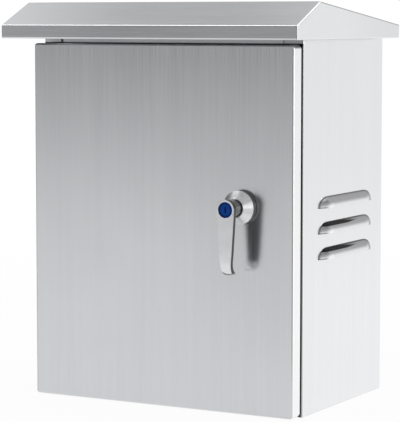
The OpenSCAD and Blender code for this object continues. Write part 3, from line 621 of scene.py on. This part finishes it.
DOOR = brushed_steel("stainless_door", "z", DOOR_FACE, LIT_DOOR_SIDES, bend=pulled_sheet)
BODY = brushed_steel("stainless_body", "z", SHEET, LIT_SHEET_SIDES, (louvre_painted_light, flange_shade_and_seam))
ACROSS = brushed_steel("stainless_across", "x", SHADED_SHEET, marks=(flange_shade_and_seam,))
HOOD = brushed_steel("stainless_hood", "x", SHEET, LIT_SHEET_SIDES, (fascia_shade,), bump=0.01, soft=False)
CHROME = handle_chrome("handle_chrome")
TURNED = turned_chrome("rosette_chrome")
ZINC = plated_steel("zinc_plated", ZINC_GREY)
HINGE = plated_steel("hinge_steel", HINGE_GREY)
BRASS = plated_steel("brass", BRASS_YELLOW)
GALVANISED = spangled_zinc("galvanised")
FOAM = soft_black("foam", FOAM_BLACK, FOAM_ROUGH, scale=1500.0, strength=0.5)
RUBBER = soft_black("rubber", RUBBER_BLACK, RUBBER_ROUGH, scale=700.0, strength=0.2)
BLUE = moulded_blue("blue_plastic")

FINISH = {
    "body_wrap": BODY, "vent_screen_left": FOAM, "vent_screen_right": FOAM,
    "top_panel": ACROSS, "bottom_panel": ACROSS, "door_panel": DOOR,
    "rain_hood": HOOD, "hood_bracket_left": ACROSS, "hood_bracket_right": ACROSS,
    "hood_bolts": ZINC, "hood_seal_washers": RUBBER, "hood_nuts": ZINC,
    "door_gasket": FOAM,
    "upper_hinge_body_leaf": HINGE, "upper_hinge_door_leaf": HINGE, "upper_hinge_pin": ZINC,
    "lower_hinge_body_leaf": HINGE, "lower_hinge_door_leaf": HINGE, "lower_hinge_pin": ZINC,
    "hinge_screws": ZINC, "hinge_nuts": ZINC,
    "lock_rosette": TURNED, "lock_seal": RUBBER, "lock_washer": ZINC, "lock_nut": ZINC,
    "lock_handle": CHROME, "lock_spindle": ZINC, "lock_cam": ZINC, "cam_washer": ZINC, "cam_screw": ZINC,
    "key_plug": BRASS, "plug_cap": BLUE,
    "mounting_plate": GALVANISED, "plate_studs": ZINC, "plate_washers": ZINC, "plate_nuts": ZINC,
    "gland_plate": GALVANISED, "gland_gasket": FOAM, "gland_studs": ZINC, "gland_nuts": ZINC,
    "cable_grommets": RUBBER,
    "earth_stud": BRASS, "earth_washer": BRASS, "earth_nut": BRASS,
    "door_earth_stud": BRASS, "door_earth_washer": BRASS, "door_earth_nut": BRASS,
}
for name, node in NODES.items():
    for slot in node.material_slots:
        slot.material = FINISH[name]

# Camera, worked out for the photograph's frame of 400 by 422, its angles in degrees

CAMERA_AT = (1.35251, -2.5779, 0.27132)
CAMERA_DOWN = 5.4861
CAMERA_ROUND = 29.2699
CAMERA_SENSOR = 36.0
CAMERA_LENS = 171.5603
CAMERA_FAR = 200.0

scene = bpy.context.scene
camera = bpy.data.objects.new("camera", bpy.data.cameras.new("camera"))
scene.collection.objects.link(camera)
camera.location = CAMERA_AT
camera.rotation_euler = Euler((math.radians(90 - CAMERA_DOWN), 0.0, math.radians(CAMERA_ROUND)))
camera.data.sensor_width = CAMERA_SENSOR
camera.data.lens = CAMERA_LENS
camera.data.clip_end = CAMERA_FAR
scene.camera = camera

# Floor, with patches by the cosine to a level direction, and fades by distance in metres

FLOOR_HALF = 40.0
FLOOR_GAP = 0.0005
RIGHT_BACK = (0.5, 0.85)
TO_CAMERA = (0.465, -0.885)
TO_RIGHT = (0.996, -0.087)
ACROSS_VIEW = (0.88, -0.46)
BACK_SHADE = 0.09
BACK_WAY = (0.60, 0.97)
BACK_FADE = (0.8, 4.0)
CAMERA_PATCH = (0.66, 0.90, 0.0, 0.50)
CAMERA_FADE = (0.06, 0.35)
RIGHT_PATCH = (0.76, 0.93, 0.0, 0.28)
RIGHT_FADE = (0.1, 0.6)
LEFT_PATCH = (-0.50, -0.56, 0.0, 0.04)
LEFT_FADE = (1.8, 3.4)
STRIP = (0.05, 0.32, 0.0, 0.09)
STRIP_Y = (-3.6, -1.6, -0.9, -0.6)
FRONT_TONE = (-9.33, -1.48, 0.477, 1.0)
GLOW_SHARE = (0.7, 2.0, 0.93, 1.0)


def floor_shades(tree, coords, away):
    """The floor's tone, darker far in front of the door and in soft patches, and its extra glow to the
    right of the box."""
    place = place_of(tree, coords)
    offset = vector_node(tree, "SUBTRACT", coords, (SIDE_X, DOOR_FRONT, 0.0))
    corner = place_of(tree, offset)
    apart = vector_node(tree, "LENGTH", offset)
    to_back = math_node(tree, "DIVIDE", reach(tree, place, RIGHT_BACK), away)
    to_left = math_node(tree, "DIVIDE", place["X"], away)
    to_camera = math_node(tree, "DIVIDE", reach(tree, corner, TO_CAMERA), apart)
    to_right = math_node(tree, "DIVIDE", reach(tree, corner, TO_RIGHT), apart)
    back = times(tree, fit_range(tree, to_back, *BACK_WAY, 0.0, BACK_SHADE), rising(tree, away, *BACK_FADE))
    dim = times(tree, fit_range(tree, to_camera, *CAMERA_PATCH), rising(tree, apart, *CAMERA_FADE))
    left = times(tree, fit_range(tree, to_left, *LEFT_PATCH), rising(tree, away, *LEFT_FADE))
    strip = times(tree, fit_range(tree, reach(tree, place, ACROSS_VIEW), *STRIP),
                  between(tree, place["Y"], *STRIP_Y))
    tone = times(tree, fit_range(tree, place["Y"], *FRONT_TONE), less(tree, back), less(tree, dim),
                 math_node(tree, "ADD", left, 1.0), less(tree, strip))
    bright = times(tree, fit_range(tree, to_right, *RIGHT_PATCH), rising(tree, apart, *RIGHT_FADE))
    return tone, bright


def floor_look():
    """The camera sees a white floor with a faint shadow round the box. Reflections and bounced light see
    its tones."""
    mat, tree = new_material("floor")
    coords = object_coords(tree)
    away = vector_node(tree, "LENGTH", coords)
    tone, bright = floor_shades(tree, coords, away)
    path = add(tree, "ShaderNodeLightPath").outputs
    tone = math_node(tree, "MAXIMUM", tone, path["Is Camera Ray"])
    diffuse = add(tree, "ShaderNodeBsdfDiffuse")
    glow = add(tree, "ShaderNodeEmission")
    for shader in (diffuse, glow):
        tree.links.new(tone, shader.inputs["Color"])
    tree.links.new(math_node(tree, "ADD", 1.0, bright), glow.inputs["Strength"])
    mirrored = math_node(tree, "MAXIMUM", path["Is Glossy Ray"], path["Is Transmission Ray"])
    seen = math_node(tree, "MAXIMUM", path["Is Camera Ray"], mirrored)
    both = add(tree, "ShaderNodeMixShader")
    put(tree, both.inputs[0], times(tree, seen, fit_range(tree, away, *GLOW_SHARE)))
    tree.links.new(diffuse.outputs[0], both.inputs[1])
    tree.links.new(glow.outputs[0], both.inputs[2])
    out = add(tree, "ShaderNodeOutputMaterial")
    tree.links.new(both.outputs[0], out.inputs["Surface"])
    return mat


signs = ((-1, -1), (1, -1), (1, 1), (-1, 1))
corners = [(x * FLOOR_HALF, y * FLOOR_HALF, FLOOR_Z - FLOOR_GAP) for x, y in signs]
floor_mesh = bpy.data.meshes.new("floor")
floor_mesh.from_pydata(corners, [], [(0, 1, 2, 3)])
floor_mesh.materials.append(floor_look())
floor = bpy.data.objects.new("floor", floor_mesh)
scene.collection.objects.link(floor)

# Studio, with shades by the way a ray looks: to the back right, along X and up

ROOM_LIGHT = 0.8
ROOM_WAY = (-0.8, 0.40, 0.372, 1.27)
ROOM_LEFT = (-0.525, -0.585, 1.0, 1.42)
ROOM_RIGHT = (-0.50, -0.455, 0.86, 1.0)
ROOM_UP = (0.0, 0.26, 1.0, 0.44)
ROOF_LEFT = (-0.50, -0.64, 0.15, 1.13)
ROOF_RIGHT = (-0.48, -0.36, 0.0, 0.46)
ROOF_UP = (0.45, 0.62)


def studio():
    """The camera sees white. Reflections and light see a pale room, dimmer towards the front left and over
    the horizon, with a lighter roof."""
    world = bpy.data.worlds.new("studio")
    world.use_nodes = True
    tree = world.node_tree
    tree.nodes.clear()
    way = place_of(tree, add(tree, "ShaderNodeTexCoord").outputs["Generated"])
    to_back = reach(tree, way, RIGHT_BACK)
    room = times(tree, fit_range(tree, to_back, *ROOM_WAY),
                 fit_range(tree, to_back, *BACK_WAY, 1.0, 1.0 - BACK_SHADE),
                 fit_range(tree, way["X"], *ROOM_LEFT), fit_range(tree, way["X"], *ROOM_RIGHT),
                 fit_range(tree, way["Z"], *ROOM_UP))
    ends = math_node(tree, "ADD", fit_range(tree, way["X"], *ROOF_LEFT),
                     fit_range(tree, way["X"], *ROOF_RIGHT))
    roof = times(tree, rising(tree, way["Z"], *ROOF_UP), ends)
    level = times(tree, math_node(tree, "ADD", room, roof), ROOM_LIGHT)
    level = math_node(tree, "MAXIMUM", level, add(tree, "ShaderNodeLightPath").outputs["Is Camera Ray"])
    back = add(tree, "ShaderNodeBackground")
    back.inputs["Color"].default_value = (*WHITE, 1.0)
    tree.links.new(level, back.inputs["Strength"])
    out = add(tree, "ShaderNodeOutputWorld")
    tree.links.new(back.outputs[0], out.inputs["Surface"])
    return world


def softbox(name, at, size, power):
    """A lamp that looks at the middle of the box and stays out of the camera's sight."""
    light = bpy.data.lights.new(name, "AREA")
    light.shape = "RECTANGLE"
    light.size, light.size_y = size
    light.energy = power
    lamp = bpy.data.objects.new(name, light)
    lamp.location = at
    lamp.rotation_euler = (-Vector(at)).to_track_quat("-Z", "Y").to_euler()
    lamp.visible_camera = False
    scene.collection.objects.link(lamp)


scene.world = studio()
softbox("key", at=(-1.9, -2.1, 2.9), size=(1.4, 1.4), power=26.0)
softbox("side", at=(4.6, -2.5, 0.9), size=(1.6, 3.2), power=45.0)
softbox("rim", at=(1.9, 2.1, 2.9), size=(0.9, 0.9), power=7.0)

scene.view_settings.view_transform = "Standard"
